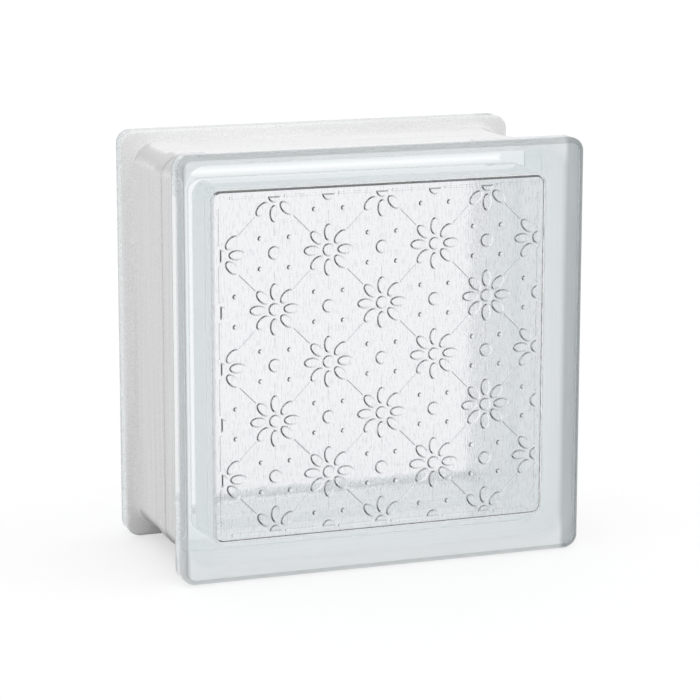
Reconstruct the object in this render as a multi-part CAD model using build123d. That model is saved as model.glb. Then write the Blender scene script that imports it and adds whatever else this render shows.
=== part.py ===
from build123d import *
from math import radians, tan
import os

# Hollow glass block: two pressed glass halves, fused at mid-depth into one piece.
# Millimetres, Z up, front face towards -Y, origin on the ground under the middle.

# Overall size
face_width = 190.0
face_height = 190.0
block_depth = 100.0

# Lips round the two faces
lip_depth = 12.0
lip_corner_radius = 6.5
lip_face_radius = 2.5
lip_back_radius = 1.5

# Mortar channel round the edge of the block
channel_drop = 6.0
channel_corner_radius = 10.0
channel_cove_radius = 4.0

# Band where the halves are fused
seam_width = 10.0
seam_height = 0.8
seam_edge_radius = 0.5

# Sealed cavity
pane_thickness = 8.5
window_margin = 16.0
window_corner_radius = 5.0
cavity_edge_radius = 2.5
wall_draft = 2.0

# Ridge left inside the cavity where the halves are fused
ridge_width = 10.0
ridge_height = 2.5
ridge_chamfer = 1.5

half_depth = block_depth / 2


def plane_at(depth):
    # A plane across the block, at a depth behind the front face, looking backwards.
    centre = (0, depth - half_depth, face_height / 2)
    return Plane(origin=centre, x_dir=(1, 0, 0), z_dir=(0, 1, 0))


def outline(inset, corner_radius):
    width = face_width - 2 * inset
    height = face_height - 2 * inset
    return RectangleRounded(width, height, corner_radius)


def make_lip():
    lip = extrude(plane_at(0) * outline(0, lip_corner_radius), lip_depth)
    face_edges = lip.edges().group_by(Axis.Y)[0]
    lip = fillet(face_edges, lip_face_radius)
    back_edges = lip.edges().group_by(Axis.Y)[-1]
    return fillet(back_edges, lip_back_radius)


def add_channel(lip):
    floor_outline = outline(channel_drop, channel_corner_radius)
    body = lip + extrude(plane_at(0) * floor_outline, half_depth)
    shoulder = body.faces().filter_by(Axis.Y).sort_by(Axis.Y)[1]
    foot_edges = shoulder.inner_wires()[0].edges()
    return fillet(foot_edges, channel_cove_radius)


def make_seam():
    inset = channel_drop - seam_height
    corner_radius = channel_corner_radius + seam_height
    start = plane_at(half_depth - seam_width / 2)
    band = extrude(start * outline(inset, corner_radius), seam_width)
    ends = band.edges().group_by(Axis.Y)
    return fillet(ends[0] + ends[-1], seam_edge_radius)


def make_pocket():
    # The plunger's shape in one half, widening towards the ridge at the seam.
    window = outline(window_margin, window_corner_radius)
    pocket_depth = half_depth - pane_thickness - ridge_width / 2
    pocket = extrude(plane_at(pane_thickness) * window, pocket_depth, taper=-wall_draft)
    pane_edges = pocket.edges().group_by(Axis.Y)[0]
    return fillet(pane_edges, cavity_edge_radius), pocket_depth


def add_throat(pocket, pocket_depth):
    # The ridge narrows the cavity at the seam.
    widening = pocket_depth * tan(radians(wall_draft))
    throat = outline(window_margin - widening + ridge_height, window_corner_radius)
    half_cavity = pocket + extrude(plane_at(half_depth - ridge_width / 2) * throat, ridge_width / 2)
    ridge_side = half_cavity.faces().filter_by(Axis.Y).sort_by(Axis.Y)[-2]
    crest_edges = ridge_side.inner_wires()[0].edges()
    return chamfer(crest_edges, ridge_chamfer)


def make_glass_block():
    front_half = add_channel(make_lip())
    pocket, pocket_depth = make_pocket()
    front_cavity = add_throat(pocket, pocket_depth)
    outside = front_half + mirror(front_half, about=Plane.XZ) + make_seam()
    cavity = front_cavity + mirror(front_cavity, about=Plane.XZ)
    return outside - cavity


glass_block = make_glass_block()
print("glass volume, cubic cm:", round(glass_block.volume / 1000, 1))

os.makedirs("parts", exist_ok=True)
export_step(glass_block, "parts/glass_block.step")
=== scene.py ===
import bpy
import bmesh
import math
from mathutils import Matrix, Vector


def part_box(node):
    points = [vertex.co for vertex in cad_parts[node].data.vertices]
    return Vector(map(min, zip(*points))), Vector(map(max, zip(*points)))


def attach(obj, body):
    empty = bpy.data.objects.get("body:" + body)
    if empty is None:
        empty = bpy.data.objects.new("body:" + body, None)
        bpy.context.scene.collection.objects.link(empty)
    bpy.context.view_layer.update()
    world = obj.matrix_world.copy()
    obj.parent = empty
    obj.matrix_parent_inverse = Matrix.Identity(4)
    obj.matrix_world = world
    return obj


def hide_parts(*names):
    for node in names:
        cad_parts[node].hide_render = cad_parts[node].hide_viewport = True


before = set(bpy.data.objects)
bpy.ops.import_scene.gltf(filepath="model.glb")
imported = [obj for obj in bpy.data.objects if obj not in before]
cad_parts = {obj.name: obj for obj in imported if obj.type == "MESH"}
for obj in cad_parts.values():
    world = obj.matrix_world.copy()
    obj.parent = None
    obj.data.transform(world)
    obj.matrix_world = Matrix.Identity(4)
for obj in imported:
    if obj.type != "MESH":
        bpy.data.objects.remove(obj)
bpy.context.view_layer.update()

print("frame loaded:", ", ".join(sorted(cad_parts)))

mm = 0.001
scene = bpy.context.scene
lowCorner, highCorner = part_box("glass_block")
centreHeight = (lowCorner.z + highCorner.z) / 2
halfWidth = (highCorner.x - lowCorner.x) / 2
halfHeight = (highCorner.z - lowCorner.z) / 2
halfDepth = (highCorner.y - lowCorner.y) / 2

# the camera comes first: where it stands round the block, and what it aims at
cameraView = {
    "azimuth": -20.28,
    "elevation": 11.68,
    "roll": 0.06,
    "distance": 1279.3 * mm,
    "aimRight": 1.3 * mm,
    "aimUp": -5.1 * mm,
    "focalPixels": 2789.0,
    "framePixels": 700,
    "sensorWidth": 36.0,
    "clipEnd": 100.0,
}


def addCamera(settings):
    azimuth = math.radians(settings["azimuth"])
    elevation = math.radians(settings["elevation"])
    level = math.cos(elevation)
    back = Vector((math.sin(azimuth) * level, -math.cos(azimuth) * level, math.sin(elevation)))
    right = Vector((math.cos(azimuth), math.sin(azimuth), 0.0))
    up = back.cross(right)
    aim = Vector((0.0, 0.0, centreHeight)) + right * settings["aimRight"] + up * settings["aimUp"]
    data = bpy.data.cameras.new("camera")
    data.sensor_width = settings["sensorWidth"]
    data.lens = settings["focalPixels"] / settings["framePixels"] * settings["sensorWidth"]
    data.clip_end = settings["clipEnd"]
    camera = bpy.data.objects.new("camera", data)
    scene.collection.objects.link(camera)
    turn = Matrix((right, up, back)).transposed().to_4x4()
    roll = Matrix.Rotation(math.radians(settings["roll"]), 4, "Z")
    camera.matrix_world = Matrix.Translation(aim + back * settings["distance"]) @ turn @ roll
    scene.camera = camera


addCamera(cameraView)
print("camera placed")

# the pressed glass: the solid's own section, but with a round crest on the ridge
glassSection = {
    "lipDepth": 12.0 * mm,
    "lipCorner": 6.5 * mm,
    "lipFaceRadius": 2.5 * mm,
    "lipBackRadius": 1.5 * mm,
    "channelDrop": 6.0 * mm,
    "channelCorner": 10.0 * mm,
    "channelCove": 4.0 * mm,
    "seamWidth": 10.0 * mm,
    "seamHeight": 0.8 * mm,
    "seamEdge": 0.5 * mm,
    "paneThickness": 8.5 * mm,
    "windowMargin": 16.0 * mm,
    "windowCorner": 5.0 * mm,
    "cavityEdge": 2.5 * mm,
    "wallDraft": 2.0,
    "ridgeWidth": 10.0 * mm,
    "ridgeHeight": 2.5 * mm,
    "ridgeEdge": 1.0 * mm,
    "ringGap": 0.02 * mm,  # rings in one plane would bridge crosswise
    "cornerSteps": 10,
    "filletSteps": 5,
    "shadingWeight": 100,
    # painted shade on the glass at the foot of the front pane and on the lips, from 0 to 1
    "edgeShade": 0.97,
    "edgeShadeLeft": 0.25,
    "edgeLineStart": 0.2 * mm,
    "lipShade": 0.15,
    "lipEdgeShade": 0.45,
    "edgeBand": 2.0 * mm,
    # how deep behind a face the white film starts
    "coatStart": 10.5 * mm,
}

# the daisies and dots in relief on the inside of the front pane, on one square grid
paneOrnament = {
    "cell": 25.0 * mm,
    "cells": 6,
    "discRadius": 3.05 * mm,
    "petals": 8,
    "petalLength": 8.0 * mm,
    "petalWidth": 4.8 * mm,
    "petalReach": 7.8 * mm,
    "bigDotRadius": 3.2 * mm,
    "smallDotRadius": 1.2 * mm,
    "smallDotReach": 6.7 * mm,
    "stemWidth": 0.8 * mm,
    "stemGap": 0.4 * mm,
    "tickStart": 12.3 * mm,
    "tickEnd": 17.5 * mm,
    "tickWidth": 0.7 * mm,
    "borderWidth": 1.5 * mm,
    "borderGap": 1.2 * mm,
    "edgeClearance": 1.0 * mm,
    "mergeDistance": 0.01 * mm,
    "ovalSteps": 16,
    "smallDotSteps": 10,
    "lineSteps": 8,
    # each step of a flank: width in mm, rise in mm, and how dark its painted shade is, from 0 to
    # 1
    "ovalFlank": ((0.26, 0.10, 1.0), (0.32, 0.19, 1.0), (0.22, 0.09, 1.0)),
    "lineFlank": ((0.14, 0.06, 0.9), (0.14, 0.10, 1.0), (0.06, 0.04, 0.8)),
    "tickFlank": ((0.16, 0.02, 0.5), (0.14, 0.01, 0.2)),
    # the painted shade is darkest on a flank that faces this way, across and up, and a turn
    # spreads it round
    "darkWay": (-0.97, 0.24),
    "darkFull": 0.5,
    "ovalTurn": 0.75,
    "lineTurn": -0.25,
}


def roundSteps(radius, count):
    # a quarter round in steps: how far along, from 0 up, and how far is left across, down to 0
    angles = [math.pi / 2 * step / count for step in range(count + 1)]
    return [(radius * (1 - math.cos(angle)), radius * (1 - math.sin(angle))) for angle in angles]


def outerStations(size):
    # (depth, inset, corner radius) of each ring, from the face to the middle of the seam
    count = size["filletSteps"]
    drop, corner = size["channelDrop"], size["channelCorner"]
    stations = []
    for depth, inset in roundSteps(size["lipFaceRadius"], count):
        stations.append((depth, inset, size["lipCorner"] - inset))
    stations.append((size["lipFaceRadius"] + size["edgeBand"], 0.0, size["lipCorner"]))
    for inset, rest in roundSteps(size["lipBackRadius"], count):
        stations.append((size["lipDepth"] - rest, inset, size["lipCorner"] - inset))
    for run, rise in roundSteps(size["channelCove"], count):
        depth = size["lipDepth"] + max(run, size["ringGap"])
        stations.append((depth, drop - rise, corner + rise))
    seamStart = halfDepth - size["seamWidth"] / 2
    stations.append((seamStart - size["ringGap"], drop, corner))
    for run, rest in roundSteps(size["seamEdge"], count):
        rise = size["seamHeight"] - rest
        stations.append((seamStart + run, drop - rise, corner + rise))
    return stations


def cavityStations(size):
    # the same for the cavity, from the pane to the ridge at mid-depth
    count = size["filletSteps"]
    slope = math.tan(math.radians(size["wallDraft"]))
    margin, corner = size["windowMargin"], size["windowCorner"]
    stations = []
    for run, rest in roundSteps(size["cavityEdge"], count):
        narrowing = rest - run * slope
        stations.append((size["paneThickness"] + run, margin + narrowing, corner - narrowing))
    ridgeStart = halfDepth - size["ridgeWidth"] / 2
    widening = (ridgeStart - size["paneThickness"]) * slope
    foot = margin - widening
    for rise, rest in roundSteps(size["ridgeEdge"], count):
        depth = ridgeStart - rest
        inset = foot + rise + (ridgeStart - depth) * slope
        stations.append((depth, inset, corner + widening - rise))
    for run, rest in roundSteps(size["ridgeEdge"], count):
        depth = ridgeStart + max(run, size["ringGap"])
        stations.append((depth, foot + size["ridgeHeight"] - rest, corner + rest))
    return stations


def mirrored(stations):
    return [(2 * halfDepth - depth, inset, corner) for depth, inset, corner in reversed(stations)]


def addRing(mesh, depth, inset, cornerRadius, steps):
    # a circle in the upright plane, its four quarters pushed out to the corners
    halfStep = math.pi / 4 / steps
    upright = Matrix.Rotation(math.pi / 2, 4, "X") @ Matrix.Rotation(halfStep, 4, "Z")
    ring = bmesh.ops.create_circle(mesh, cap_ends=False, segments=4 * steps,
                                   radius=cornerRadius / math.cos(halfStep), matrix=upright)
    straightX = halfWidth - inset - cornerRadius
    straightZ = halfHeight - inset - cornerRadius
    for vert in ring["verts"]:
        vert.co.x += math.copysign(straightX, vert.co.x)
        vert.co.z += math.copysign(straightZ, vert.co.z) + centreHeight
        vert.co.y = depth - halfDepth
    return list(dict.fromkeys(edge for vert in ring["verts"] for edge in vert.link_edges))


def addShell(mesh, stations, steps):
    rings = [addRing(mesh, depth, inset, corner, steps) for depth, inset, corner in stations]
    walls = []
    for nearRing, farRing in zip(rings, rings[1:]):
        walls += bmesh.ops.bridge_loops(mesh, edges=nearRing + farRing)["faces"]
    return rings, walls


def addOval(mesh, paneDepth, centre, length, width, turn, steps):
    # one flat oval pad, standing in the plane of the pane
    place = (Matrix.Translation((centre[0], paneDepth, centre[1] + centreHeight))
             @ Matrix.Rotation(math.pi / 2, 4, "X") @ Matrix.Rotation(turn, 4, "Z")
             @ Matrix.Diagonal((length / width, 1.0, 1.0, 1.0)))
    bmesh.ops.create_circle(mesh, cap_ends=True, segments=steps, radius=width / 2, matrix=place)


def addDot(mesh, paneDepth, centre, radius, steps):
    addOval(mesh, paneDepth, centre, 2 * radius, 2 * radius, 0.0, steps)


def addLine(mesh, paneDepth, start, end, width, steps):
    # one flat strip with round ends
    run = Vector(end) - Vector(start)
    middle = (Vector(end) + Vector(start)) / 2
    strip = bmesh.ops.create_circle(mesh, cap_ends=True, segments=steps, radius=width / 2,
                                    matrix=Matrix.Rotation(math.pi / steps, 4, "Z"))
    for vert in strip["verts"]:
        vert.co.x += math.copysign((run.length - width) / 2, vert.co.x)
    slant = Matrix.Rotation(math.atan2(run.y, run.x), 4, "Z")
    place = (Matrix.Translation((middle.x, paneDepth, middle.y + centreHeight))
             @ Matrix.Rotation(math.pi / 2, 4, "X") @ slant)
    bmesh.ops.transform(mesh, matrix=place, verts=strip["verts"])


def addDaisy(mesh, paneDepth, centre, edge, size):
    steps = size["ovalSteps"]
    addDot(mesh, paneDepth, centre, size["discRadius"], steps)
    for petal in range(size["petals"]):
        turn = 2 * math.pi * petal / size["petals"]
        way = Vector((math.cos(turn), math.sin(turn)))
        middle = Vector(centre) + way * size["petalReach"]
        if max(abs(middle.x), abs(middle.y)) < edge - size["edgeClearance"]:
            addOval(mesh, paneDepth, middle, size["petalLength"], size["petalWidth"], turn, steps)


def addTicks(mesh, paneDepth, centre, edge, size):
    # the short lines between a daisy and the dots beside it
    for way in (Vector((1, 0)), Vector((0, 1)), Vector((-1, 0)), Vector((0, -1))):
        start = Vector(centre) + way * size["tickStart"]
        end = Vector(centre) + way * size["tickEnd"]
        if max(abs(start.x), abs(start.y)) < edge - size["edgeClearance"]:
            addLine(mesh, paneDepth, start, end, size["tickWidth"], size["lineSteps"])


def addDots(mesh, paneDepth, centre, edge, size):
    addDot(mesh, paneDepth, centre, size["bigDotRadius"], size["ovalSteps"])
    reach = size["smallDotReach"]
    for across, along in ((-reach, -reach), (-reach, reach), (reach, -reach), (reach, reach)):
        middle = Vector(centre) + Vector((across, along))
        if max(abs(middle.x), abs(middle.y)) < edge:
            addDot(mesh, paneDepth, middle, size["smallDotRadius"], size["smallDotSteps"])


def addStems(mesh, paneDepth, size):
    # the diagonal lines from petal tip to petal tip
    cell = size["cell"]
    tip = (size["petalReach"] + size["petalLength"] / 2 + size["stemGap"]) / math.sqrt(2)
    first = -size["cells"] / 2 * cell
    for column in range(size["cells"]):
        for row in range(size["cells"]):
            left, right = first + column * cell, first + (column + 1) * cell
            low, high = first + row * cell, first + (row + 1) * cell
            if (column + row) % 2 == 1:
                start, end = (left + tip, low + tip), (right - tip, high - tip)
            else:
                start, end = (left + tip, high - tip), (right - tip, low + tip)
            addLine(mesh, paneDepth, start, end, size["stemWidth"], size["lineSteps"])


def addBorder(mesh, paneDepth, edge, size):
    # the thin line round the grid, broken at every motif that stands on it
    cell = size["cell"]
    for side in range(4):
        turn = Matrix.Rotation(side * math.pi / 2, 2)
        for gap in range(size["cells"]):
            start = -edge + gap * cell + size["discRadius"] + size["borderGap"]
            end = -edge + (gap + 1) * cell - size["discRadius"] - size["borderGap"]
            addLine(mesh, paneDepth, turn @ Vector((start, edge)), turn @ Vector((end, edge)),
                    size["borderWidth"], size["lineSteps"])


def gridCrossings(size, edge):
    # every crossing of the grid, and whether a daisy stands on it
    for column in range(size["cells"] + 1):
        for row in range(size["cells"] + 1):
            centre = (-edge + column * size["cell"], -edge + row * size["cell"])
            yield centre, (column + row) % 2 == 1


def addOrnament(mesh, paneDepth, size):
    edge = size["cells"] / 2 * size["cell"]
    cornerReach = 2 * edge - size["cell"] / 2
    for centre, hasDaisy in gridCrossings(size, edge):
        if hasDaisy:
            addDaisy(mesh, paneDepth, centre, edge, size)
        elif abs(centre[0]) + abs(centre[1]) < cornerReach:
            addDots(mesh, paneDepth, centre, edge, size)
    # what stands past the edge of the grid is cut off
    for way in (Vector((1, 0, 0)), Vector((-1, 0, 0)), Vector((0, 0, 1)), Vector((0, 0, -1))):
        side = Vector((0, paneDepth, centreHeight)) + way * edge
        bmesh.ops.bisect_plane(mesh, geom=mesh.verts[:] + mesh.edges[:] + mesh.faces[:],
                               clear_outer=True, plane_co=side, plane_no=way)
    bmesh.ops.remove_doubles(mesh, verts=mesh.verts, dist=size["mergeDistance"])
    ovals = dict.fromkeys(mesh.faces)
    addStems(mesh, paneDepth, size)
    addBorder(mesh, paneDepth, edge, size)
    lines = {face: None for face in mesh.faces if face not in ovals}
    for centre, hasDaisy in gridCrossings(size, edge):
        if hasDaisy:
            addTicks(mesh, paneDepth, centre, edge, size)
    ticks = [face for face in mesh.faces if face not in ovals and face not in lines]
    return list(ovals), list(lines), ticks


def raisePads(mesh, pads, flank, turn, size):
    # raises the flat pads off the pane, and marks each face of their flanks with painted shade,
    # darkest where it faces left
    mark = mesh.faces.layers.float["flank"]
    across, up = size["darkWay"]
    for width, rise, shade in flank:
        sides = bmesh.ops.inset_individual(mesh, faces=pads, thickness=width * mm,
                                           depth=rise * mm, use_even_offset=True)["faces"]
        for face in sides:
            face.normal_update()
            lean = math.hypot(face.normal.x, face.normal.z) or 1.0
            facing = (across * face.normal.x + up * face.normal.z) / lean
            dark = (facing + turn) / (size["darkFull"] + turn)
            face[mark] = shade * min(max(dark, 0.0), 1.0)


def markWindowEdge(mesh, walls, size):
    # painted shade on the round foot of the front pane, dark but hardly so on the left
    mark = mesh.faces.layers.float["flank"]
    for face in walls:
        middle = face.calc_center_median()
        depth = middle.y + halfDepth - size["paneThickness"]
        if size["edgeLineStart"] < depth < size["cavityEdge"]:
            onLeft = middle.x < -abs(middle.z - centreHeight)
            face[mark] = size["edgeShadeLeft"] if onLeft else size["edgeShade"]


def markOutside(mesh, sides, size):
    # the film on the floor of the channel, and painted shade on the bare glass of the lips
    mark = mesh.faces.layers.float["flank"]
    edgeReach = halfDepth - size["lipFaceRadius"] - size["edgeBand"]
    for face in sides:
        reach = abs(face.calc_center_median().y)
        if reach < halfDepth - size["coatStart"]:
            face.material_index = 1
        else:
            face[mark] = size["lipEdgeShade"] if reach > edgeReach else size["lipShade"]


def finishedPiece(mesh, name):
    data = bpy.data.meshes.new(name)
    mesh.to_mesh(data)
    mesh.free()
    piece = bpy.data.objects.new(name, data)
    scene.collection.objects.link(piece)
    return piece


def makeGlassBlock(size, ornament):
    mesh = bmesh.new()
    mesh.faces.layers.float.new("flank")
    # the cavity, with the ornament let into the front pane, faces the hollow
    paneDepth = size["paneThickness"] - halfDepth
    ovals, lines, ticks = addOrnament(mesh, paneDepth, ornament)
    rims = [edge for face in ovals + lines + ticks for edge in face.edges]
    cavity = cavityStations(size)
    rings, walls = addShell(mesh, cavity + mirrored(cavity), size["cornerSteps"])
    bmesh.ops.triangle_fill(mesh, use_beauty=True, edges=rings[0] + rims)
    bmesh.ops.contextual_create(mesh, geom=rings[-1])
    inner = mesh.faces[:]
    bmesh.ops.recalc_face_normals(mesh, faces=inner)
    bmesh.ops.reverse_faces(mesh, faces=inner)
    markWindowEdge(mesh, walls, size)
    raisePads(mesh, ovals, ornament["ovalFlank"], ornament["ovalTurn"], ornament)
    raisePads(mesh, lines, ornament["lineFlank"], ornament["lineTurn"], ornament)
    raisePads(mesh, ticks, ornament["tickFlank"], ornament["lineTurn"], ornament)
    # the outside
    inner = set(mesh.faces)
    outer = outerStations(size)
    rings, sides = addShell(mesh, outer + mirrored(outer), size["cornerSteps"])
    for ring in (rings[0], rings[-1]):
        bmesh.ops.contextual_create(mesh, geom=ring)
    outside = [face for face in mesh.faces if face not in inner]
    bmesh.ops.recalc_face_normals(mesh, faces=outside)
    markOutside(mesh, sides, size)
    for face in mesh.faces:
        face.smooth = True
    return finishedPiece(mesh, "glassBlock")


def materialCalled(name):
    material = bpy.data.materials.new(name)
    material.use_nodes = True
    return material, material.node_tree, material.node_tree.nodes["Principled BSDF"]


def feed(tree, value, socket):
    # a number or a colour is set on the socket, and a node's output is linked to it
    if isinstance(value, bpy.types.NodeSocket):
        tree.links.new(value, socket)
    else:
        socket.default_value = value


def addMath(tree, operation, *values):
    node = tree.nodes.new("ShaderNodeMath")
    node.operation = operation
    for socket, value in zip(node.inputs, values):
        feed(tree, value, socket)
    return node.outputs["Value"]


def addNoise(tree, place, scale, detail):
    node = tree.nodes.new("ShaderNodeTexNoise")
    node.inputs["Scale"].default_value = scale
    node.inputs["Detail"].default_value = detail
    feed(tree, place, node.inputs["Vector"])
    return node.outputs["Fac"]


def addStretched(tree, place, scale):
    node = tree.nodes.new("ShaderNodeMapping")
    node.inputs["Scale"].default_value = scale
    feed(tree, place, node.inputs["Vector"])
    return node.outputs["Vector"]


def addFade(tree, value, start, end, low=0.0, high=1.0, curve="LINEAR"):
    # low up to start, high from end on
    node = tree.nodes.new("ShaderNodeMapRange")
    node.interpolation_type = curve
    node.inputs["From Min"].default_value = start
    node.inputs["From Max"].default_value = end
    node.inputs["To Min"].default_value = low
    node.inputs["To Max"].default_value = high
    feed(tree, value, node.inputs["Value"])
    return node.outputs["Result"]


def addMix(tree, share, first, second, kind="RGBA"):
    node = tree.nodes.new("ShaderNodeMix")
    node.data_type = kind
    feed(tree, share, node.inputs["Factor"])
    feed(tree, first, node.inputs["A"])
    feed(tree, second, node.inputs["B"])
    return node.outputs["Result"]


def addBump(tree, shader, height):
    # heights are in mm
    node = tree.nodes.new("ShaderNodeBump")
    node.inputs["Strength"].default_value = 1.0
    node.inputs["Distance"].default_value = mm
    feed(tree, height, node.inputs["Height"])
    feed(tree, node.outputs["Normal"], shader.inputs["Normal"])


def makeFromMiddle():
    # where a point is, from the middle of the block: across and up unsigned, depth signed
    tree = bpy.data.node_groups.new("fromMiddle", "ShaderNodeTree")
    tree.interface.new_socket("Place", in_out="INPUT", socket_type="NodeSocketVector")
    for name in ("Across", "Depth", "Up"):
        tree.interface.new_socket(name, in_out="OUTPUT", socket_type="NodeSocketFloat")
    given = tree.nodes.new("NodeGroupInput")
    result = tree.nodes.new("NodeGroupOutput")
    shift = tree.nodes.new("ShaderNodeVectorMath")
    shift.operation = "SUBTRACT"
    shift.inputs[1].default_value = (0.0, 0.0, centreHeight)
    feed(tree, given.outputs["Place"], shift.inputs[0])
    parts = tree.nodes.new("ShaderNodeSeparateXYZ")
    feed(tree, shift.outputs["Vector"], parts.inputs["Vector"])
    feed(tree, addMath(tree, "ABSOLUTE", parts.outputs["X"]), result.inputs["Across"])
    feed(tree, parts.outputs["Y"], result.inputs["Depth"])
    feed(tree, addMath(tree, "ABSOLUTE", parts.outputs["Z"]), result.inputs["Up"])
    return tree


fromMiddle = makeFromMiddle()


def addFromMiddle(tree, place):
    node = tree.nodes.new("ShaderNodeGroup")
    node.node_tree = fromMiddle
    feed(tree, place, node.inputs["Place"])
    return node.outputs["Across"], node.outputs["Depth"], node.outputs["Up"]


# the clear glass: its tint, the press marks inside the panes, and the painted shade that greys
# each part
clearGlass = {
    "colour": (0.996, 0.998, 0.998, 1.0),
    # painted shade: the front pane grey, darker in its streaks
    "paneShadeColour": (0.90, 0.905, 0.915, 1.0),
    "streakShadeColour": (0.66, 0.67, 0.70, 1.0),
    # painted shade: the rear pane grey, and the rim round it darker
    "rearPaneShadeColour": (0.86, 0.865, 0.88, 1.0),
    "rimShadeColour": (0.66, 0.70, 0.71, 1.0),
    # painted shade, near black, on the flanks, the foot of the front pane and the lips
    "flankShadeColour": (0.001, 0.0012, 0.0014, 1.0),
    "index": 1.52,
    "tint": (0.76, 0.93, 0.96, 1.0),
    "tintStrength": 1.5,
    # sizes and heights of the marks in mm
    "streakWidth": 0.65,
    "streakLength": 4.0,
    "streakHeight": 0.09,
    "streakNone": 0.50,
    "streakFull": 0.32,
    "rippleSize": 4.0,
    "rippleHeight": 0.09,
    "rearWaveSize": 2.2,
    "rearWaveHeight": 0.75,
    # where the panes' inner faces are, with their relief and round feet
    "cavityMargin": 12.0 * mm,
    "paneDepth": 8.7 * mm,
    "paneReach": 0.9 * mm,
    "rearDepth": 9.9 * mm,
    "rearReach": 1.6 * mm,
    "rimFade": 2.0 * mm,
    "rimDepth": 3.0 * mm,
}


def makeClearGlass(look, size):
    material, tree, shader = materialCalled("clearGlass")
    shader.inputs["Roughness"].default_value = 0.0
    shader.inputs["IOR"].default_value = look["index"]
    shader.inputs["Transmission Weight"].default_value = 1.0
    absorption = tree.nodes.new("ShaderNodeVolumeAbsorption")
    absorption.inputs["Color"].default_value = look["tint"]
    absorption.inputs["Density"].default_value = look["tintStrength"]
    feed(tree, absorption.outputs["Volume"], tree.nodes["Material Output"].inputs["Volume"])
    place = tree.nodes.new("ShaderNodeTexCoord").outputs["Object"]
    across, depth, up = addFromMiddle(tree, place)
    widest = addMath(tree, "MAXIMUM", across, up)
    # the marks stay inside the cavity, off the outside of the lips at the same depth
    withinCavity = addMath(tree, "LESS_THAN", widest, halfWidth - look["cavityMargin"])
    atPane = addMath(tree, "COMPARE", depth, -halfDepth + look["paneDepth"], look["paneReach"])
    onPane = addMath(tree, "MULTIPLY", atPane, withinCavity)
    atRear = addMath(tree, "COMPARE", depth, halfDepth - look["rearDepth"], look["rearReach"])
    onRear = addMath(tree, "MULTIPLY", atRear, withinCavity)
    # the relief of the marks
    stretch = (1 / mm / look["streakWidth"], 0.0, 1 / mm / look["streakLength"])
    streaks = addNoise(tree, addStretched(tree, place, stretch), 1.0, 2.0)
    ripples = addNoise(tree, place, 1 / mm / look["rippleSize"], 1.0)
    rearWaves = addNoise(tree, place, 1 / mm / look["rearWaveSize"], 2.0)
    streakHeight = addMath(tree, "MULTIPLY", streaks, look["streakHeight"])
    paneHeight = addMath(tree, "MULTIPLY_ADD", ripples, look["rippleHeight"], streakHeight)
    rearHeight = addMath(tree, "MULTIPLY", rearWaves, look["rearWaveHeight"])
    paneRelief = addMath(tree, "MULTIPLY", paneHeight, onPane)
    addBump(tree, shader, addMath(tree, "MULTIPLY_ADD", rearHeight, onRear, paneRelief))
    # painted shade, one grey over the other: front pane and its streaks, rear pane, the rim round
    # it, dark flanks
    streakShade = addFade(tree, streaks, look["streakNone"], look["streakFull"])
    streaked = addMix(tree, streakShade, look["paneShadeColour"], look["streakShadeColour"])
    pane = addMix(tree, onPane, look["colour"], streaked)
    rear = addMix(tree, onRear, pane, look["rearPaneShadeColour"])
    window = halfWidth - size["windowMargin"]
    pastWindow = addFade(tree, widest, window, window + look["rimFade"])
    onFace = addMath(tree, "GREATER_THAN", depth, halfDepth - look["rimDepth"])
    onRim = addMath(tree, "MULTIPLY", pastWindow, onFace)
    rim = addMix(tree, onRim, rear, look["rimShadeColour"])
    # the marks lay that near black painted shade over the glass
    flank = tree.nodes.new("ShaderNodeAttribute")
    flank.attribute_name = "flank"
    withPaintedShade = addMix(tree, flank.outputs["Fac"], rim, look["flankShadeColour"])
    feed(tree, withPaintedShade, shader.inputs["Base Color"])
    return material


# the white film brushed on the floor of the mortar channel
edgeCoat = {
    "colour": (0.94, 0.94, 0.945, 1.0),
    # worn: the colour of wear in the film, and of the painted shade in the channel's corners
    "wornAndShaded": (0.67, 0.668, 0.67, 1.0),
    "inside": (0.995, 0.995, 0.995, 1.0),
    "brushed": (0.96, 0.965, 0.97, 1.0),
    # painted shade on the shoulders at the sides, seen through the glass
    "shoulderShade": (0.62, 0.64, 0.65, 1.0),
    "roughness": 0.8,
    # sizes and heights of the marks in mm, and how worn the film is in them
    "brushWidth": 2.2,
    "brushLength": 90.0,
    "brushNone": 0.56,
    "brushFull": 0.36,
    "brushWear": 0.22,
    "grainSize": 0.55,
    "grainHeight": 0.03,
    "speckNone": 0.56,
    "speckFull": 0.34,
    "speckWear": 0.6,
    # painted shade in the corners of the channel
    "cornerShade": 0.8,
    # where the painted shade of the corners fades, and where the shoulders with their painted
    # shade are, in from the outside of the block
    "cornerFade": (19.5 * mm, 18.0 * mm),
    "floorDepth": 13.5 * mm,
    "sideFade": (6.5 * mm, 4.5 * mm),
    "shoulderFade": (19.0 * mm, 14.0 * mm),
}


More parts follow.
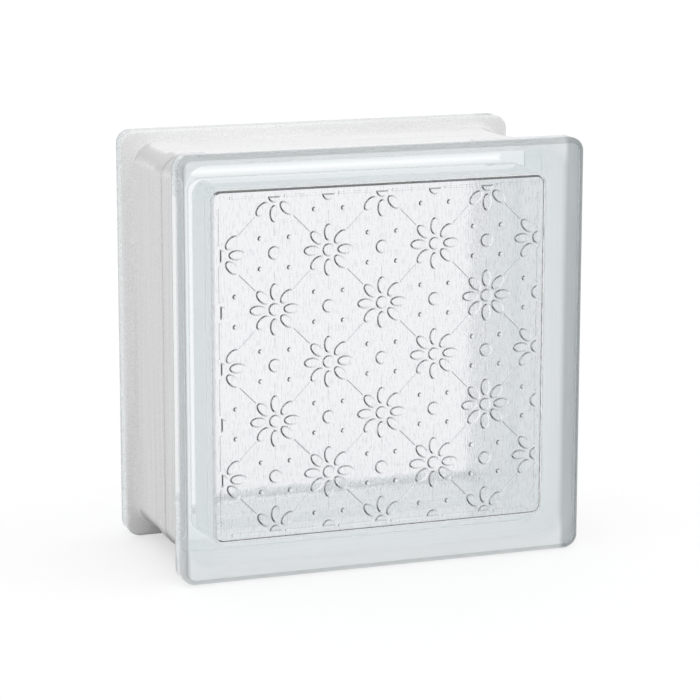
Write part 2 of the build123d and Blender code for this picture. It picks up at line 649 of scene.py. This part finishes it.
def makeEdgeCoat(look):
    material, tree, shader = materialCalled("edgeCoat")
    shader.inputs["Roughness"].default_value = look["roughness"]
    place = tree.nodes.new("ShaderNodeTexCoord").outputs["Object"]
    across, depth, up = addFromMiddle(tree, place)
    depth = addMath(tree, "ABSOLUTE", depth)
    length, width = 1 / mm / look["brushLength"], 1 / mm / look["brushWidth"]
    brush = addNoise(tree, addStretched(tree, place, (length, width, length)), 1.0, 2.0)
    strokes = addFade(tree, brush, look["brushNone"], look["brushFull"])
    grain = addNoise(tree, place, 1 / mm / look["grainSize"], 2.0)
    specks = addFade(tree, grain, look["speckNone"], look["speckFull"])
    speckWear = addMath(tree, "MULTIPLY", specks, look["speckWear"])
    wear = addMath(tree, "MULTIPLY_ADD", strokes, look["brushWear"], speckWear)
    # outside, painted shade darkens the corners of the channel floor, over the wear
    cornerStart, cornerEnd = look["cornerFade"]
    toCorner = halfWidth + halfHeight
    corner = addFade(tree, addMath(tree, "ADD", across, up), toCorner - cornerStart,
                     toCorner - cornerEnd, high=look["cornerShade"])
    onFloor = addMath(tree, "LESS_THAN", depth, halfDepth - look["floorDepth"])
    wearAndShade = addMath(tree, "MULTIPLY_ADD", corner, onFloor, wear)
    outside = addMix(tree, wearAndShade, look["colour"], look["wornAndShaded"])
    # seen through the glass, the shoulders at the sides get painted shade
    sideStart, sideEnd = look["sideFade"]
    beside = addFade(tree, across, halfWidth - sideStart, halfWidth - sideEnd)
    lipStart, lipEnd = look["shoulderFade"]
    nearLip = addFade(tree, depth, halfDepth - lipStart, halfDepth - lipEnd)
    onShoulder = addMath(tree, "MULTIPLY", beside, nearLip)
    inside = addMix(tree, strokes, look["inside"], look["brushed"])
    inside = addMix(tree, onShoulder, inside, look["shoulderShade"])
    behind = tree.nodes.new("ShaderNodeNewGeometry").outputs["Backfacing"]
    feed(tree, addMix(tree, behind, outside, inside), shader.inputs["Base Color"])
    addBump(tree, shader, addMath(tree, "MULTIPLY", grain, look["grainHeight"]))
    return material


glassBlock = makeGlassBlock(glassSection, paneOrnament)
glassBlock.data.materials.append(makeClearGlass(clearGlass, glassSection))
glassBlock.data.materials.append(makeEdgeCoat(edgeCoat))
evenShading = glassBlock.modifiers.new("evenShading", "WEIGHTED_NORMAL")
evenShading.mode = "FACE_AREA"
evenShading.weight = glassSection["shadingWeight"]
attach(glassBlock, "root")
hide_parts("glass_block")
print("glass block:", len(glassBlock.data.polygons), "faces")

# the studio: pale floor, even world light, one soft key lamp
studio = {
    "floorRadius": 12.0,
    "floorLevel": -0.2 * mm,
    "floorSteps": 64,
    "floorColour": (0.5, 0.5, 0.5, 1.0),
    "floorGlow": 0.51,
    "worldStrength": 1.0,
    # what is seen of the world, ahead and far to the sides
    "worldSeen": 1.0,
    "sideways": 0.65,
    "sidewaysFade": (0.5, 0.95),
    "keyStrength": 0.1,
    "keySoftness": 40.0,
    "keyTurn": (20.0, 35.0, 0.0),
}


def seenRays(tree):
    # 1 for what the camera, a reflection or the glass looks at, 0 for light falling on things
    path = tree.nodes.new("ShaderNodeLightPath")
    seen = addMath(tree, "MAXIMUM", path.outputs["Is Camera Ray"], path.outputs["Is Glossy Ray"])
    return addMath(tree, "MAXIMUM", seen, path.outputs["Is Transmission Ray"])


def makeFloor(look):
    mesh = bmesh.new()
    bmesh.ops.create_circle(mesh, cap_ends=True, segments=look["floorSteps"],
                            radius=look["floorRadius"],
                            matrix=Matrix.Translation((0.0, 0.0, look["floorLevel"])))
    floor = finishedPiece(mesh, "floor")
    material, tree, shader = materialCalled("paleFloor")
    shader.inputs["Base Color"].default_value = look["floorColour"]
    shader.inputs["Roughness"].default_value = 1.0
    shader.inputs["Specular IOR Level"].default_value = 0.0
    shader.inputs["Emission Color"].default_value = (1.0, 1.0, 1.0, 1.0)
    glow = addMath(tree, "MULTIPLY", seenRays(tree), look["floorGlow"])
    feed(tree, glow, shader.inputs["Emission Strength"])
    floor.data.materials.append(material)


def makeWorld(look):
    world = bpy.data.worlds.new("studio")
    scene.world = world
    world.use_nodes = True
    tree = world.node_tree
    light = tree.nodes["Background"]
    light.inputs["Color"].default_value = (1.0, 1.0, 1.0, 1.0)
    # dimmer to the left and right, as between two dark cards, which draws the edges of the glass
    way = tree.nodes.new("ShaderNodeSeparateXYZ")
    feed(tree, tree.nodes.new("ShaderNodeTexCoord").outputs["Generated"], way.inputs["Vector"])
    across = addMath(tree, "ABSOLUTE", way.outputs["X"])
    cardStart, cardEnd = look["sidewaysFade"]
    cards = addFade(tree, across, cardStart, cardEnd, look["worldSeen"], look["sideways"],
                    "SMOOTHSTEP")
    strength = addMix(tree, seenRays(tree), look["worldStrength"], cards, "FLOAT")
    feed(tree, strength, light.inputs["Strength"])


def makeKey(look):
    data = bpy.data.lights.new("key", "SUN")
    data.energy = look["keyStrength"]
    data.angle = math.radians(look["keySoftness"])
    key = bpy.data.objects.new("key", data)
    key.rotation_euler = [math.radians(turn) for turn in look["keyTurn"]]
    scene.collection.objects.link(key)


makeFloor(studio)
makeWorld(studio)
makeKey(studio)
print("studio lit")

scene.cycles.max_bounces = 32
scene.cycles.diffuse_bounces = 20
scene.cycles.blur_glossy = 0.0  # blurred glass would keep the light out of the block
scene.cycles.transmission_bounces = 28
scene.cycles.glossy_bounces = 28
scene.view_settings.view_transform = "Standard"
